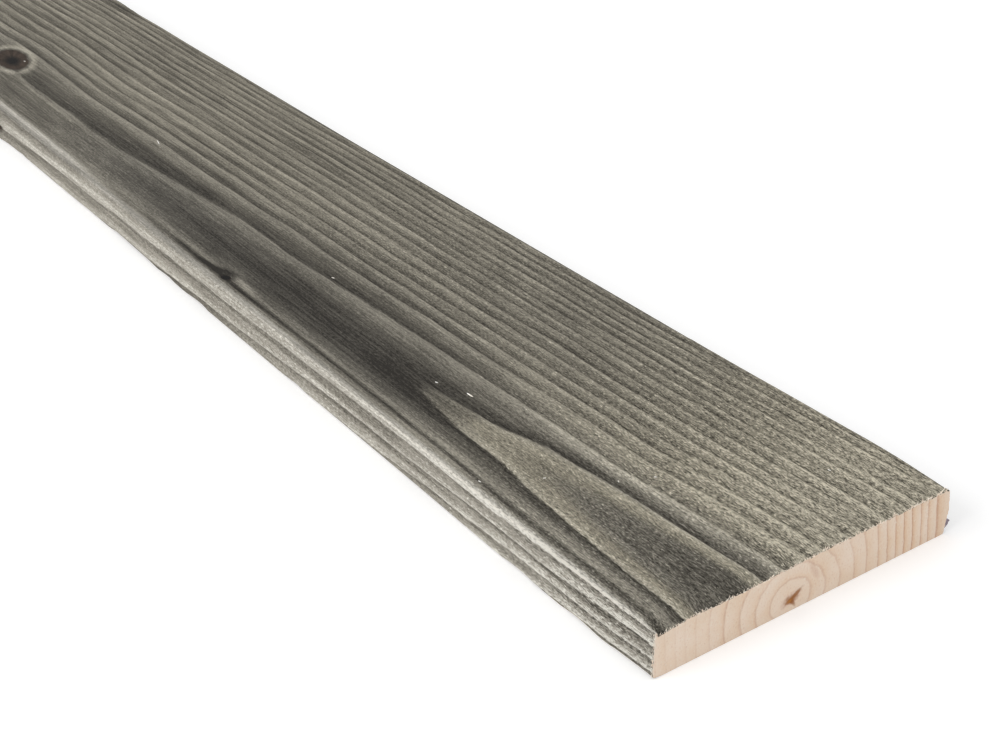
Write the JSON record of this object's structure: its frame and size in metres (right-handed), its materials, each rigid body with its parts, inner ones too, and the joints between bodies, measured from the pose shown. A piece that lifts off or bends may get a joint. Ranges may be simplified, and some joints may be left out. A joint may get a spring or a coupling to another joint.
{
  "type": "cladding board",
  "caption": "Flat rectangular softwood cladding board, weathered grey with open grain, eased long edges and square sawn ends, for facing walls.",
  "frame": {"origin": "middle of the back face, which lies on the ground plane", "axes": "+X along the length towards the sawn end seen in the picture, +Y across the width towards the far long edge, +Z out of the show face"},
  "size_m": [1.8, 0.152, 0.021],
  "materials": {
    "weathered_softwood": "weathered grey and brushed, rough to the touch, freshly sawn pale ends"
  },
  "bodies": {
    "root": {"board": "weathered_softwood"}
  },
  "joints": []
}
